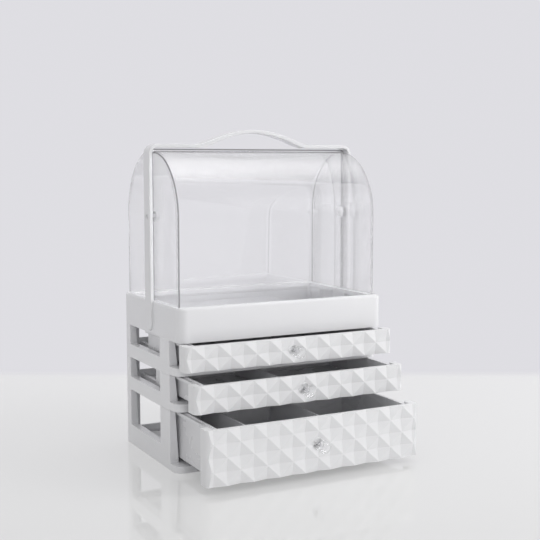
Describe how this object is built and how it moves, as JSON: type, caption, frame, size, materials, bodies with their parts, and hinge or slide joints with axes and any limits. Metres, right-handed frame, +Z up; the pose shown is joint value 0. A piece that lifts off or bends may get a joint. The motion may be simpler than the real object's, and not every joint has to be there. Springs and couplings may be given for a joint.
{
  "type": "dustproof makeup organizer",
  "caption": "Tabletop cosmetics box: stacked drawers with diamond-relief fronts under a tray closed by two clear swing covers, with an arched carry handle.",
  "frame": {"origin": "middle of the tray's width and depth, on the surface that the base stands on", "axes": "+X to the right as seen from the drawer fronts, +Y to the back, +Z up"},
  "size_m": [0.28, 0.277, 0.3984],
  "materials": {
    "white_shell": "glossy moulded polystyrene",
    "white_drawer": "glossy moulded polystyrene",
    "white_front": "high gloss, diamond relief",
    "clear_cover": "clear polystyrene, polished",
    "clear_knob": "clear faceted acrylic",
    "divider_plastic": "glossy moulded polystyrene",
    "screw_steel": "zinc plated"
  },
  "bodies": {
    "stand": {"base_tier": "white_shell", "middle_tier": "white_shell", "upper_tier": "white_shell", "top_tray": "white_shell", "handle_arch": "white_shell", "handle_screws": "screw_steel", "left_pivot_pin": "white_shell", "right_pivot_pin": "white_shell"},
    "front_cover": {"front_cover": "clear_cover"},
    "rear_cover": {"rear_cover": "clear_cover"},
    "upper_drawer": {"upper_drawer_box": "white_drawer", "upper_drawer_front": "white_front", "upper_knob": "clear_knob", "upper_knob_screw": "screw_steel"},
    "middle_drawer": {"middle_drawer_box": "white_drawer", "middle_drawer_front": "white_front", "middle_knob": "clear_knob", "middle_knob_screw": "screw_steel", "middle_drawer_divider": "divider_plastic"},
    "lower_drawer": {"lower_drawer_box": "white_drawer", "lower_drawer_front": "white_front", "lower_knob": "clear_knob", "lower_knob_screw": "screw_steel", "lower_drawer_dividers": "divider_plastic"}
  },
  "joints": [
    {"name": "front_cover_hinge", "type": "hinge", "parent": "stand", "child": "front_cover", "pos_m": [0, 0, 0.2945], "axis": [-1, 0, 0], "range_deg": [0, 90]},
    {"name": "rear_cover_hinge", "type": "hinge", "parent": "stand", "child": "rear_cover", "pos_m": [0, 0, 0.2945], "axis": [-1, 0, 0], "range_deg": [-90, 0]},
    {"name": "upper_drawer_slide", "type": "slide", "parent": "stand", "child": "upper_drawer", "axis": [0, -1, 0], "range_m": [-0.031, 0.079]},
    {"name": "middle_drawer_slide", "type": "slide", "parent": "stand", "child": "middle_drawer", "axis": [0, -1, 0], "range_m": [-0.056, 0.054]},
    {"name": "lower_drawer_slide", "type": "slide", "parent": "stand", "child": "lower_drawer", "axis": [0, -1, 0], "range_m": [-0.088, 0.022]}
  ]
}
